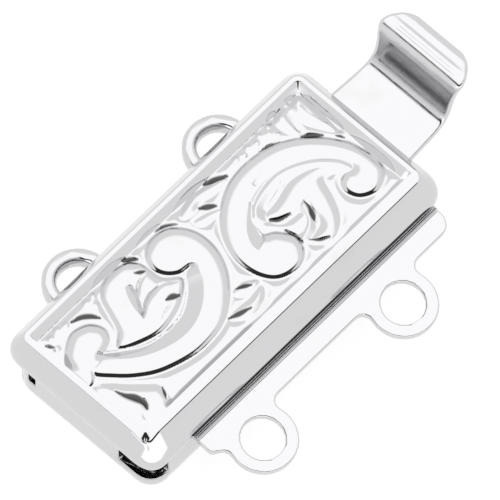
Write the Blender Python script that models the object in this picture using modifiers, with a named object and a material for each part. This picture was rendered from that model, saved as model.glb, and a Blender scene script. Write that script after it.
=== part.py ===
"""A two strand box clasp of stamped silver plated sheet: cover, tray, sliding tongue and spring leaf.

Metres, +Z up. The origin is the centre of the case's underside. The long side runs along X, with the
thumb pad at +X, the tongue's rings at -Y and the case's own rings at +Y. The clasp is shown fastened.
"""

import math

import bmesh
import bpy
import numpy as np
from mathutils import Matrix, Vector

MM = 0.001

# Case: the cover's widest size, the levels of its parts, and the sheet it is stamped from
CASE_LENGTH = 21.1 * MM
CASE_WIDTH = 10.0 * MM
CASE_HEIGHT = 4.9 * MM
COVER_FOOT = 2.9 * MM
COVER_CEILING = 4.22 * MM
COVER_WALL = 0.3 * MM
SHOULDER_X = 0.7 * MM
SHOULDER_Y = 1.0 * MM
PANEL_CORNER = 0.45 * MM
FRAME_WIDTH = 0.45 * MM
FRAME_SLOPE = 0.2 * MM
RELIEF = 0.35 * MM
GROUND = CASE_HEIGHT - RELIEF
PANEL_X = CASE_LENGTH / 2 - SHOULDER_X
PANEL_Y = CASE_WIDTH / 2 - SHOULDER_Y
PANEL_STEPS_X = 54
PANEL_STEPS_Y = 20

# The cover's edge from the frame down: how far out it stands, as a share of the shoulder, and its height
COVER_EDGE = (
    # spread, z
    (0.00, CASE_HEIGHT),
    (0.34, CASE_HEIGHT - 0.07 * MM),
    (0.74, CASE_HEIGHT - 0.33 * MM),
    (0.97, CASE_HEIGHT - 0.74 * MM),
    (0.99, CASE_HEIGHT - 1.15 * MM),
    (0.84, CASE_HEIGHT - 1.62 * MM),
    (0.62, COVER_FOOT),
)

# The hollow under the cover, from below its foot up to the ceiling, in the same terms
COVER_HOLLOW = (
    # spread, z
    (0.62, COVER_FOOT - 0.5 * MM),
    (0.62, COVER_FOOT),
    (0.84, 3.3 * MM),
    (0.97, 3.75 * MM),
    (0.86, COVER_CEILING - 0.12 * MM),
    (0.55, COVER_CEILING),
)

# Tray under the cover
BASE_X = 10.2 * MM
BASE_Y = 4.65 * MM
BASE_CORNER = 1.1 * MM
BASE_WALL = 0.4 * MM
BASE_FLOOR = 0.4 * MM
WALL_TOP = COVER_FOOT - 0.15 * MM
SLIT_BOTTOM = 2.1 * MM
SLIT_START = -7.65 * MM
BASE_EDGE = (
    # inset, z
    (0.50 * MM, 0.0),
    (0.22 * MM, 0.10 * MM),
    (0.06 * MM, 0.32 * MM),
    (0.0, 0.65 * MM),
    (0.0, WALL_TOP),
)
NEAR_NOTCH_X = -8.95 * MM
NEAR_NOTCH_Y = -2.4 * MM
NEAR_NOTCH_Z = 0.95 * MM
FAR_NOTCH_Y = (3.15 * MM, 3.6 * MM)
FAR_NOTCH_Z = 1.3 * MM
SLIT_GAP = 0.1 * MM

# Rings: two on the tongue's flange and two on the tray
RING_PITCH = 10.0 * MM
RING_RADIUS = 1.78 * MM
RING_HOLE = 1.12 * MM
TONGUE_RING_Y = -7.15 * MM
BASE_RING_Y = 5.15 * MM
BASE_RING_HOLE = 1.05 * MM
BASE_RING_SECTION = (
    # inset, z
    (0.20 * MM, 1.65 * MM),
    (0.0, 1.85 * MM),
    (0.0, 2.45 * MM),
    (0.12 * MM, 2.65 * MM),
    (0.26 * MM, 2.70 * MM),
)
RING_FILLET = 0.5 * MM
RING_STEPS = 20

# Tongue: a sheet that lies in the slit, folded back on itself at the near end
SHEET = 0.45 * MM
PLATE_BOTTOM = 2.25 * MM
PLATE_LEFT = 4.0 * MM
PLATE_RIGHT = -4.2 * MM
PLATE_FAR = 10.0 * MM
FLANGE_BEND = -4.65 * MM
FLANGE_SLOPE_DEG = 9.0
FLANGE_EDGE = -6.07 * MM
FLANGE_NEAR = -7.38 * MM
FLANGE_FAR = 9.75 * MM
FLANGE_NEAR_CORNER = 0.35 * MM
FLANGE_FAR_CORNER = 0.8 * MM
FOLD_X = -8.7 * MM
LEAF_TOP = 3.85 * MM
FOLD_Z = (PLATE_BOTTOM + LEAF_TOP) / 2
FOLD_RADIUS = (LEAF_TOP - PLATE_BOTTOM) / 2
FOLD_HALF_WIDTH = 2.6 * MM
FOLD_GAP_DEG = 11.0
FOLD_OVERLAP = 0.4 * MM
FOLD_SLACK = 0.01 * MM
FOLD_STEPS = 6

# Window in the cover's far wall that the leaf comes out of
WINDOW_HALF_WIDTH = 2.98 * MM
WINDOW_TOP = 4.02 * MM

# The leaf's upper surface outside the fold, with its half width: flat, then up the riser and over the pad
LEAF_ROWS = (
    # x, z, half width, ridge height
    (FOLD_X, LEAF_TOP, 2.60 * MM, 0.0),
    (9.80 * MM, LEAF_TOP, 2.70 * MM, 0.0),
    (12.20 * MM, LEAF_TOP + 0.02 * MM, 2.57 * MM, 0.0),
    (12.75 * MM, 4.00 * MM, 2.53 * MM, 0.0),
    (13.10 * MM, 4.38 * MM, 2.50 * MM, 0.0),
    (13.28 * MM, 4.90 * MM, 2.50 * MM, 0.0),
    (13.42 * MM, 5.48 * MM, 2.54 * MM, 0.0),
    (13.58 * MM, 6.08 * MM, 2.62 * MM, 0.0),
    (13.80 * MM, 6.48 * MM, 2.70 * MM, 0.0),
    (14.05 * MM, 6.65 * MM, 2.69 * MM, 0.10 * MM),
    (14.28 * MM, 6.71 * MM, 2.63 * MM, 0.0),
    (14.50 * MM, 6.72 * MM, 2.54 * MM, 0.10 * MM),
    (14.73 * MM, 6.70 * MM, 2.41 * MM, 0.0),
    (14.98 * MM, 6.66 * MM, 2.21 * MM, 0.08 * MM),
    (15.22 * MM, 6.59 * MM, 1.92 * MM, 0.0),
    (15.45 * MM, 6.48 * MM, 1.36 * MM, 0.0),
)
LEAF_ACROSS = 10
PAD_RIM_SHARE = 0.8

# Scroll relief. Each stroke is a smooth line of round sections: x, y and half width in millimetres
SCROLL_STROKES = (
    # left scroll: from the lower left curl along the bottom, up the middle and into its bulb
    (
        (-8.45, 0.85, 0.42),
        (-7.60, -0.20, 0.66),
        (-6.60, -0.97, 0.76),
        (-5.35, -1.38, 0.82),
        (-4.05, -1.48, 0.88),
        (-2.80, -1.20, 0.92),
        (-1.70, -0.50, 0.96),
        (-0.90, 0.35, 0.90),
        (-0.62, 1.20, 0.80),
        (-0.95, 2.00, 0.98),
        (-1.55, 2.20, 1.16),
    ),
    # left curl, a round bulb that joins the scroll at its neck
    (
        (-8.70, 0.60, 0.30),
        (-9.05, 1.20, 0.40),
        (-8.55, 1.75, 0.62),
        (-7.80, 1.88, 0.86),
    ),
    # right scroll: bulb, up the middle, along the top and round into the right curl
    (
        (1.85, -1.75, 1.12),
        (1.10, -1.05, 0.72),
        (1.15, 0.00, 0.72),
        (1.80, 0.95, 0.78),
        (2.85, 1.72, 0.78),
        (4.25, 2.05, 0.74),
        (5.55, 1.95, 0.72),
        (6.65, 1.50, 0.68),
        (7.55, 0.75, 0.63),
        (8.30, -0.30, 0.55),
        (8.62, -1.30, 0.45),
        (8.30, -2.10, 0.60),
        (7.75, -1.95, 0.92),
    ),
    # leaf inside the left scroll, a stem with three fingers
    ((-6.70, 0.62, 0.16), (-5.90, 1.30, 0.34), (-5.35, 2.30, 0.42), (-4.55, 3.00, 0.44), (-3.45, 2.90, 0.26)),
    ((-5.20, 0.90, 0.30), (-4.60, 1.60, 0.32), (-3.30, 2.05, 0.22)),
    ((-5.10, 0.75, 0.26), (-3.80, 1.05, 0.32), (-2.70, 0.75, 0.16)),
    ((-5.00, 0.10, 0.22), (-4.00, 0.30, 0.30), (-3.10, 0.30, 0.18)),
    # leaf inside the right scroll, a finger, a stem and two tails
    ((3.20, 0.50, 0.14), (4.20, 0.78, 0.28), (5.60, 0.85, 0.28), (6.90, 0.20, 0.14)),
    ((3.05, -0.25, 0.16), (4.00, -0.25, 0.34), (5.20, 0.00, 0.40), (7.00, -0.40, 0.20)),
    ((5.45, -0.20, 0.38), (5.50, -1.20, 0.44), (5.00, -2.15, 0.40), (3.80, -2.50, 0.16)),
    ((4.80, -0.90, 0.24), (4.30, -1.75, 0.30), (3.60, -2.00, 0.16)),
    ((6.55, -0.90, 0.22), (6.20, -1.70, 0.24), (5.80, -2.40, 0.14)),
    # leaves that fill the space between the scrolls and the corners
    ((0.30, 2.75, 0.16), (1.10, 3.15, 0.34), (2.10, 3.15, 0.32), (3.20, 2.95, 0.12)),
    ((-2.40, -2.45, 0.14), (-1.40, -2.70, 0.30), (-0.40, -2.65, 0.32), (0.20, -2.20, 0.14)),
    ((7.35, 2.15, 0.14), (7.50, 2.90, 0.30), (8.60, 3.30, 0.16)),
    ((8.70, 1.20, 0.14), (8.60, 2.20, 0.30), (8.90, 3.10, 0.18)),
    ((-8.80, -0.70, 0.14), (-8.85, -1.70, 0.32), (-8.60, -2.75, 0.34)),
    ((-7.70, -1.80, 0.14), (-7.90, -2.45, 0.28), (-7.40, -3.05, 0.14)),
)
STROKE_STEPS = 8

CASE_COLOUR = (0.86, 0.86, 0.87, 1.0)
TONGUE_COLOUR = (0.90, 0.90, 0.91, 1.0)
CASE_ROUGHNESS = 0.16
TONGUE_ROUGHNESS = 0.10
SHARP_ANGLE = math.radians(35)
MERGE = 1e-6


def clear_scene():
    for item in list(bpy.data.objects):
        bpy.data.objects.remove(item, do_unlink=True)


def new_collection(name):
    collection = bpy.data.collections.new(name)
    bpy.context.scene.collection.children.link(collection)
    return collection


def metal(name, colour, roughness):
    material = bpy.data.materials.new(name)
    material.use_nodes = True
    shader = material.node_tree.nodes["Principled BSDF"]
    shader.inputs["Base Color"].default_value = colour
    shader.inputs["Metallic"].default_value = 1.0
    shader.inputs["Roughness"].default_value = roughness
    return material


def add_object(name, mesh, collection, material=None):
    item = bpy.data.objects.new(name, mesh)
    collection.objects.link(item)
    if material:
        mesh.materials.append(material)
        mesh.shade_smooth()
        mesh.set_sharp_from_angle(angle=SHARP_ANGLE)
    return item


def mesh_from(name, points, faces):
    mesh = bpy.data.meshes.new(name)
    mesh.from_pydata([tuple(map(float, p)) for p in points], [], faces)
    shape = bmesh.new()
    shape.from_mesh(mesh)
    bmesh.ops.remove_doubles(shape, verts=shape.verts, dist=MERGE)
    bmesh.ops.recalc_face_normals(shape, faces=shape.faces)
    shape.to_mesh(mesh)
    shape.free()
    return mesh


def as_cutter(item):
    item.hide_render = True
    item.display_type = "WIRE"
    return item


def combine(item, other, operation):
    modifier = item.modifiers.new(operation.lower(), "BOOLEAN")
    modifier.operation = operation
    modifier.solver = "EXACT"
    modifier.use_self = True
    modifier.object = other


def set_origin(item, point):
    """Moves an object's origin to a point and leaves its shape where it is."""
    item.data.transform(Matrix.Translation(-Vector(point)))
    item.location = point


def arc(centre_x, centre_y, radius, start_deg, end_deg, steps):
    angles = np.radians(np.linspace(start_deg, end_deg, steps + 1))
    return [(centre_x + radius * math.cos(a), centre_y + radius * math.sin(a)) for a in angles]


def rounded_rectangle(half_x, half_y, radius, steps=6):
    """Points round a rectangle with round corners, anticlockwise from the right side."""
    points = []
    corners = ((1, 1, 0), (-1, 1, 90), (-1, -1, 180), (1, -1, 270))
    for side_x, side_y, start in corners:
        centre_x = side_x * (half_x - radius)
        centre_y = side_y * (half_y - radius)
        points += arc(centre_x, centre_y, radius, start, start + 90, steps)
    return points


def loft(name, rings, collection, material=None):
    """A closed solid through a stack of rings, which all have the same number of points."""
    count = len(rings[0])
    points = [point for ring in rings for point in ring]
    faces = []
    for row in range(len(rings) - 1):
        for i in range(count):
            j = (i + 1) % count
            low = row * count
            faces.append((low + i, low + j, low + count + j, low + count + i))
    faces.append(tuple(range(count)))
    faces.append(tuple(range((len(rings) - 1) * count, len(rings) * count)))
    return add_object(name, mesh_from(name, points, faces), collection, material)


def block(name, low, high, collection):
    """A box between two corners, from the cube primitive."""
    shape = bmesh.new()
    bmesh.ops.create_cube(shape, size=1.0)
    for vertex in shape.verts:
        for i in range(3):
            vertex.co[i] = (low[i] + high[i]) / 2 + vertex.co[i] * (high[i] - low[i])
    mesh = bpy.data.meshes.new(name)
    shape.to_mesh(mesh)
    shape.free()
    return as_cutter(add_object(name, mesh, collection))


def flat_plate(name, outlines, z_low, z_high, collection, material=None):
    """A sheet with the outlines' shape, the first one outside and the others as holes."""
    curve = bpy.data.curves.new(name, "CURVE")
    curve.dimensions = "2D"
    curve.fill_mode = "BOTH"
    curve.extrude = (z_high - z_low) / 2
    for outline in outlines:
        spline = curve.splines.new("POLY")
        spline.points.add(len(outline) - 1)
        for point, (x, y) in zip(spline.points, outline):
            point.co = (x, y, 0.0, 1.0)
        spline.use_cyclic_u = True
    guide = bpy.data.objects.new(name + "_outline", curve)
    guide.location.z = (z_low + z_high) / 2
    collection.objects.link(guide)
    bpy.context.view_layer.update()
    solid = guide.evaluated_get(bpy.context.evaluated_depsgraph_get())
    mesh = bpy.data.meshes.new_from_object(solid)
    mesh.transform(guide.matrix_world)
    mesh.materials.clear()
    shape = bmesh.new()
    shape.from_mesh(mesh)
    bmesh.ops.remove_doubles(shape, verts=shape.verts, dist=MERGE)
    bmesh.ops.recalc_face_normals(shape, faces=shape.faces)
    shape.to_mesh(mesh)
    shape.free()
    bpy.data.objects.remove(guide, do_unlink=True)
    return add_object(name, mesh, collection, material)


def smooth_rows(rows, steps):
    """Rows between the given ones, on a smooth curve through them."""
    rows = np.array(rows, float)
    padded = np.vstack([2 * rows[0] - rows[1], rows, 2 * rows[-1] - rows[-2]])
    found = []
    for i in range(1, len(padded) - 2):
        before, start, end, after = padded[i - 1 : i + 3]
        for t in np.arange(steps) / steps:
            found.append(
                0.5
                * (
                    2 * start
                    + (end - before) * t
                    + (2 * before - 5 * start + 4 * end - after) * t**2
                    + (3 * start - before - 3 * end + after) * t**3
                )
            )
    found.append(rows[-1])
    return np.array(found)


def relief_height(x, y):
    """Height of the stamped relief over the panel's ground, at arrays of x and y."""
    edge = np.minimum(PANEL_X - np.abs(x), PANEL_Y - np.abs(y))
    height = RELIEF * np.clip(1 - (edge - FRAME_WIDTH) / FRAME_SLOPE, 0, 1)
    for stroke in SCROLL_STROKES:
        for row_x, row_y, half_width in smooth_rows(stroke, STROKE_STEPS) * MM:
            share = ((x - row_x) ** 2 + (y - row_y) ** 2) / half_width**2
            swell = np.sqrt(np.clip(1 - share**1.5, 0, 1))
            height = np.maximum(height, RELIEF * min(1.0, half_width / (0.5 * MM)) ** 0.5 * swell)
    return height


def grid_lines(half, steps):
    """Grid lines across the panel, closer together over the raised frame."""
    inner = half - FRAME_WIDTH - FRAME_SLOPE
    frame = np.array([half, half - FRAME_WIDTH / 2, half - FRAME_WIDTH])
    return np.concatenate([-frame, np.linspace(-inner, inner, steps + 1), frame[::-1]])


def round_corner(x, y):
    """Moves a grid point near a corner of the panel so that the panel's corners come out round."""
    inside_x = abs(x) - (PANEL_X - PANEL_CORNER)
    inside_y = abs(y) - (PANEL_Y - PANEL_CORNER)
    if inside_x <= 0 or inside_y <= 0:
        return x, y
    share = max(inside_x, inside_y) / math.hypot(inside_x, inside_y)
    new_x = PANEL_X - PANEL_CORNER + inside_x * share
    new_y = PANEL_Y - PANEL_CORNER + inside_y * share
    return math.copysign(new_x, x), math.copysign(new_y, y)


def outward(x, y):
    """Direction straight out of the panel's edge at a point on it, stretched to the two shoulder widths."""
    step_x = max(0.0, abs(x) - (PANEL_X - PANEL_CORNER))
    step_y = max(0.0, abs(y) - (PANEL_Y - PANEL_CORNER))
    length = math.hypot(step_x, step_y)
    return (
        math.copysign(step_x / length * SHOULDER_X, x),
        math.copysign(step_y / length * SHOULDER_Y, y),
    )


def make_cover(parts, cutters, material):
    lines_x = grid_lines(PANEL_X, PANEL_STEPS_X)
    lines_y = grid_lines(PANEL_Y, PANEL_STEPS_Y)
    count_x, count_y = len(lines_x), len(lines_y)
    heights = relief_height(*np.meshgrid(lines_x, lines_y, indexing="ij"))
    points = []
    for i, x in enumerate(lines_x):
        for j, y in enumerate(lines_y):
            points.append((*round_corner(x, y), GROUND + heights[i, j]))
    faces = []
    for i in range(count_x - 1):
        for j in range(count_y - 1):
            first = i * count_y + j
            faces.append((first, first + count_y, first + count_y + 1, first + 1))
    border = [i * count_y for i in range(count_x)]
    border += [(count_x - 1) * count_y + j for j in range(1, count_y)]
    border += [i * count_y + count_y - 1 for i in range(count_x - 2, -1, -1)]
    border += [j for j in range(count_y - 2, 0, -1)]
    above = border
    for spread, z in COVER_EDGE[1:]:
        below = []
        for index in border:
            x, y, _ = points[index]
            out_x, out_y = outward(x, y)
            below.append(len(points))
            points.append((x + spread * out_x, y + spread * out_y, z))
        for i in range(len(border)):
            j = (i + 1) % len(border)
            faces.append((above[i], below[i], below[j], above[j]))
        above = below
    faces.append(tuple(above))
    cover = add_object("case_cover", mesh_from("case_cover", points, faces), parts, material)

    hollow = []
    for spread, z in COVER_HOLLOW:
        half_x = PANEL_X + spread * SHOULDER_X - COVER_WALL
        half_y = PANEL_Y + spread * SHOULDER_Y - COVER_WALL
        hollow.append([(x, y, z) for x, y in rounded_rectangle(half_x, half_y, SHOULDER_X)])
    combine(cover, as_cutter(loft("cover_hollow", hollow, cutters)), "DIFFERENCE")
    window = block(
        "leaf_window",
        (PANEL_X - SHOULDER_X, -WINDOW_HALF_WIDTH, COVER_FOOT - SHEET),
        (CASE_LENGTH / 2 + SHEET, WINDOW_HALF_WIDTH, WINDOW_TOP),
        cutters,
    )
    combine(cover, window, "DIFFERENCE")
    return cover


def ring_lobe(centre_x, centre_y, edge_y, side):
    """Outline of a ring that grows out of a straight edge, with hollow fillets, along +X."""
    reach = abs(centre_y - edge_y) - RING_FILLET
    along = math.sqrt((RING_RADIUS + RING_FILLET) ** 2 - reach**2)
    lean = math.degrees(math.atan2(reach, along))
    fillet_y = edge_y + side * RING_FILLET
    left = arc(centre_x - along, fillet_y, RING_FILLET, 90, -lean, 4)
    ring = arc(centre_x, centre_y, RING_RADIUS, 180 - lean, 360 + lean, RING_STEPS)
    right = arc(centre_x + along, fillet_y, RING_FILLET, 180 + lean, 90, 4)
    return left[:-1] + ring + right[1:]


def flange_lobe(centre_x):
    return ring_lobe(centre_x, TONGUE_RING_Y, FLANGE_EDGE, -1)


def base_arch(centre_x, inset, z):
    """Section of a ring on the tray's left wall: an arch whose two feet end inside the wall."""
    drop = BASE_Y - BASE_WALL / 2 - BASE_RING_Y
    outer_radius = RING_RADIUS - inset
    inner_radius = BASE_RING_HOLE + inset
    outer = math.degrees(math.asin(drop / outer_radius))
    inner = math.degrees(math.asin(drop / inner_radius))
    points = arc(centre_x, BASE_RING_Y, outer_radius, outer, 180 - outer, RING_STEPS)
    points += arc(centre_x, BASE_RING_Y, inner_radius, 180 - inner, inner, RING_STEPS)
    return [(x, y, z) for x, y in points]


def make_base(parts, cutters, material):
    rings = []
    for inset, z in BASE_EDGE:
        outline = rounded_rectangle(BASE_X - inset, BASE_Y - inset, BASE_CORNER - inset)
        rings.append([(x, y, z) for x, y in outline])
    base = loft("case_base", rings, parts, material)

    hollow = []
    for z in (BASE_FLOOR, WALL_TOP + SHEET):
        outline = rounded_rectangle(BASE_X - BASE_WALL, BASE_Y - BASE_WALL, BASE_CORNER - BASE_WALL)
        hollow.append([(x, y, z) for x, y in outline])
    combine(base, as_cutter(loft("base_hollow", hollow, cutters)), "DIFFERENCE")

    beyond = CASE_LENGTH
    slit = block(
        "tongue_slit",
        (SLIT_START, -beyond, SLIT_BOTTOM),
        (beyond, PLATE_LEFT + SLIT_GAP, WALL_TOP + SHEET),
        cutters,
    )
    near_notch = block(
        "near_corner_relief",
        (-beyond, -beyond, NEAR_NOTCH_Z),
        (NEAR_NOTCH_X, NEAR_NOTCH_Y, WALL_TOP + SHEET),
        cutters,
    )
    far_notch = block(
        "left_corner_relief",
        (-beyond, FAR_NOTCH_Y[0], FAR_NOTCH_Z),
        (-BASE_X + BASE_CORNER, FAR_NOTCH_Y[1], WALL_TOP + SHEET),
        cutters,
    )
    for cutter in (slit, near_notch, far_notch):
        combine(base, cutter, "DIFFERENCE")

    for number, side in ((1, 1), (2, -1)):
        centre_x = side * RING_PITCH / 2
        arches = [base_arch(centre_x, inset, z) for inset, z in BASE_RING_SECTION]
        lug = loft(f"base_ring_{number}", arches, cutters)
        combine(base, as_cutter(lug), "UNION")
    return base


def tongue_outline():
    """Outline of the tongue's plate with its flange and two ring lobes. The near lobe starts inside the
    corner's curve, so it leaves out the first two points of its fillet."""
    points = [(FOLD_X, PLATE_LEFT), (FOLD_X, PLATE_RIGHT), (FLANGE_NEAR, PLATE_RIGHT)]
    points += arc(
        FLANGE_NEAR + FLANGE_NEAR_CORNER,
        FLANGE_EDGE + FLANGE_NEAR_CORNER,
        FLANGE_NEAR_CORNER,
        180,
        250,
        3,
    )
    points += flange_lobe(-RING_PITCH / 2)[2:]
    points += flange_lobe(RING_PITCH / 2)
    points += arc(
        FLANGE_FAR - FLANGE_FAR_CORNER,
        FLANGE_EDGE + FLANGE_FAR_CORNER,
        FLANGE_FAR_CORNER,
        270,
        360,
        6,
    )
    points += [(FLANGE_FAR, PLATE_RIGHT), (PLATE_FAR, PLATE_RIGHT), (PLATE_FAR, PLATE_LEFT)]
    return points


def bend_flange(plate):
    """Slopes the part of the plate that stands outside the case down about its bend line."""
    shape = bmesh.new()
    shape.from_mesh(plate.data)
    whole = shape.verts[:] + shape.edges[:] + shape.faces[:]
    bmesh.ops.bisect_plane(shape, geom=whole, dist=MERGE, plane_co=(0, FLANGE_BEND, 0), plane_no=(0, 1, 0))
    flange = [vertex for vertex in shape.verts if vertex.co.y < FLANGE_BEND - MERGE]
    turn = Matrix.Rotation(math.radians(FLANGE_SLOPE_DEG), 3, "X")
    bmesh.ops.rotate(shape, verts=flange, cent=(0, FLANGE_BEND, PLATE_BOTTOM), matrix=turn)
    shape.to_mesh(plate.data)
    shape.free()


def strip(name, rows, across, collection, material=None, thickness=SHEET):
    """A bent strip: rows of x, z, half width and ridge height give its upper surface, and Solidify its sheet."""
    points, faces = [], []
    for x, z, half_width, ridge in rows:
        for j in range(across + 1):
            share = 2 * j / across - 1
            lift = ridge * (abs(share) < PAD_RIM_SHARE)
            points.append((x, half_width * share, z + lift))
    for i in range(len(rows) - 1):
        for j in range(across):
            first = i * (across + 1) + j
            faces.append((first, first + across + 1, first + across + 2, first + 1))
    mesh = bpy.data.meshes.new(name)
    mesh.from_pydata(points, [], faces)
    item = add_object(name, mesh, collection, material)
    solid = item.modifiers.new("sheet", "SOLIDIFY")
    solid.thickness = thickness
    solid.offset = -1.0
    solid.use_even_offset = True
    return item


def fold_rows(start_deg, end_deg, radius):
    """Rows round the fold, seen from the right side with angles from +X towards +Z."""
    outline = arc(FOLD_X, FOLD_Z, radius, start_deg, end_deg, FOLD_STEPS)
    return [(x, z, FOLD_HALF_WIDTH, 0.0) for x, z in outline]


def make_tongue(parts, cutters, material):
    holes = [
        arc(side * RING_PITCH / 2, TONGUE_RING_Y, RING_HOLE, 0, 360, RING_STEPS)[:-1] for side in (-1, 1)
    ]
    plate = flat_plate(
        "tongue_plate",
        (tongue_outline(), *holes),
        PLATE_BOTTOM,
        PLATE_BOTTOM + SHEET,
        parts,
        material,
    )
    bend_flange(plate)
    set_origin(plate, (0, 0, PLATE_BOTTOM))
    rows = fold_rows(180 + FOLD_GAP_DEG, 270, FOLD_RADIUS - FOLD_SLACK)
    rows.append((FOLD_X + FOLD_OVERLAP, PLATE_BOTTOM + FOLD_SLACK, FOLD_HALF_WIDTH, 0.0))
    lower_fold = strip("lower_fold", rows[::-1], 2, cutters, thickness=SHEET - 2 * FOLD_SLACK)
    combine(plate, as_cutter(lower_fold), "UNION")
    return plate


def make_leaf(parts, material):
    rows = fold_rows(180 - FOLD_GAP_DEG, 90, FOLD_RADIUS)[:-1]
    rows += list(LEAF_ROWS)
    leaf = strip("spring_leaf", rows, LEAF_ACROSS, parts, material)
    set_origin(leaf, (FOLD_X, 0, FOLD_Z))
    return leaf


def main():
    clear_scene()
    parts = new_collection("box_clasp")
    cutters = new_collection("box_clasp_cutters")
    cutters.hide_render = True
    make_cover(parts, cutters, metal("case_silver", CASE_COLOUR, CASE_ROUGHNESS))
    make_base(parts, cutters, metal("base_silver", CASE_COLOUR, CASE_ROUGHNESS))
    make_tongue(parts, cutters, metal("tongue_silver", TONGUE_COLOUR, TONGUE_ROUGHNESS))
    make_leaf(parts, metal("leaf_silver", TONGUE_COLOUR, TONGUE_ROUGHNESS))


main()
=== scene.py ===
"""Looks of the two strand box clasp: stamped cover with scrolls, tray, sliding tongue and spring leaf."""

import math

import bmesh
import bpy
import numpy as np
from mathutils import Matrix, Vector


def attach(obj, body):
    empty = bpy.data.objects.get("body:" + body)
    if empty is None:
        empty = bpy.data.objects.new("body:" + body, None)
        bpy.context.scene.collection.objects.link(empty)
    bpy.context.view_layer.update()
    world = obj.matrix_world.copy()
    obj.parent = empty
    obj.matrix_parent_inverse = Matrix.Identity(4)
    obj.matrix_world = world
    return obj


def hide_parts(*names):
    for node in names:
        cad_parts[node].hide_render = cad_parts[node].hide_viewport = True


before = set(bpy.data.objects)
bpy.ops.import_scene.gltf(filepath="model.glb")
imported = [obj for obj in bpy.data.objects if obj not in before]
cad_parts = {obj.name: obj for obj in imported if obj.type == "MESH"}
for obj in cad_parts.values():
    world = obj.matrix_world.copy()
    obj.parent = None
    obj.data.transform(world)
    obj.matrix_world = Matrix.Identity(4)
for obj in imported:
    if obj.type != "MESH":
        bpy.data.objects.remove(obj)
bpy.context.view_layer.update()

# The cover: a thin plated sheet, stamped in one blow with a raised frame, two scrolls and their leaves.
# Its edge is rolled over the tray's walls, and a window at the far end lets the leaf out.
# The stamping is sharp on the forms and softer on the ground between them.

# A millimetre in metres, and a length that is too small to divide by
MM = 0.001
TINY = 1e-9

# The stamped panel: half its sizes, its place, its rounded corners, and the grid that it is built on
PANEL_X = 9.82
PANEL_Y = 4.13
PANEL_SHIFT_X = -0.14
PANEL_SHIFT_Y = 0.09
PANEL_CORNER = 0.42
PANEL_COLUMNS = 400
PANEL_ROWS = 168

# The whole cover round it: half its sizes, its top and how far its corners swell. Then the window in its
# edge, and how near to the window's wall or to its top a point counts as on it
COVER_X = 10.54
COVER_Y = 4.99
COVER_TOP = 4.90
CORNER_BULGE = 0.08
WINDOW_HALF = 2.98
WINDOW_TOP = 4.02
ON_EDGE = 0.01
SAME_LEVEL = 1e-6

# The ground under the frame's top: the trough round it, its swelling between the forms, and its pebbles
GROUND_DEPTH = 0.37
TROUGH_DEPTH = 0.13
TROUGH_WIDTH = 0.48
SWELL_HEIGHT = 0.10
SWELL_REACH = 0.46
PEBBLE_HEIGHT = 0.06
PEBBLE_REACH = 0.10

# The groove inside the near side of the frame: it comes in at one x and loses some depth at another
GROOVE_START = 0.12
GROOVE_WIDTH = 0.18
GROOVE_DEPTH = 0.15
GROOVE_X = -7.9
GROOVE_FADE = 0.6
GROOVE_LOSS = 0.45
GROOVE_LOSS_X = -2.2
GROOVE_LOSS_FADE = 1.5

# Sides of the raised forms: the narrow foot, then the crown on top of the round
FOOT_SPREAD = 0.07
FOOT_WIDTH = 0.19
CROWN_HEIGHT = 0.05
CROWN_WIDTH = 0.9

# The slits, whose floors carry painted shade, and the frame's near left corner, which the blow left lower
SLIT_DEPTH = 0.08
SLIT_SHADE_COLOUR = (0.07, 0.07, 0.07, 1)
SHADE_START = 0.10
SHADE_SPREAD = 0.35
CORNER_DROP = 0.37
CORNER_REACH = 0.60

# How many steps a curve takes between two of its points, for outlines and for cuts
LINE_STEPS = 6
CUT_STEPS = 10

# The frame's four sides: the width of the flat top, and that of the slope inside it
FRAME_SIDES = {
    "left": (0.34, 0.14),
    "right": (0.20, 0.38),
    "near": (0.50, 0.10),
    "far": (0.20, 0.39),
}

# Levels of the rolled edge, and of the lining inside it: the share of the way out from the panel, and z
COVER_EDGE = (
    # share, z
    (0.00, 4.900),
    (0.03, 4.896),
    (0.06, 4.881),
    (0.10, 4.851),
    (0.14, 4.819),
    (0.18, 4.773),
    (0.32, 4.590),
    (0.50, 4.335),
    (0.74, 4.020),
    (0.84, 3.870),
    (0.91, 3.720),
    (0.96, 3.560),
    (0.99, 3.400),
    (1.00, 3.250),
    (0.98, 3.090),
    (0.88, 2.960),
    (0.74, 2.930),
)
COVER_LINING = (
    # share, z
    (0.42, 2.930),
    (0.62, 3.140),
    (0.68, 3.420),
    (0.58, 3.700),
    (0.40, 4.020),
    (0.10, 4.200),
)

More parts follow.
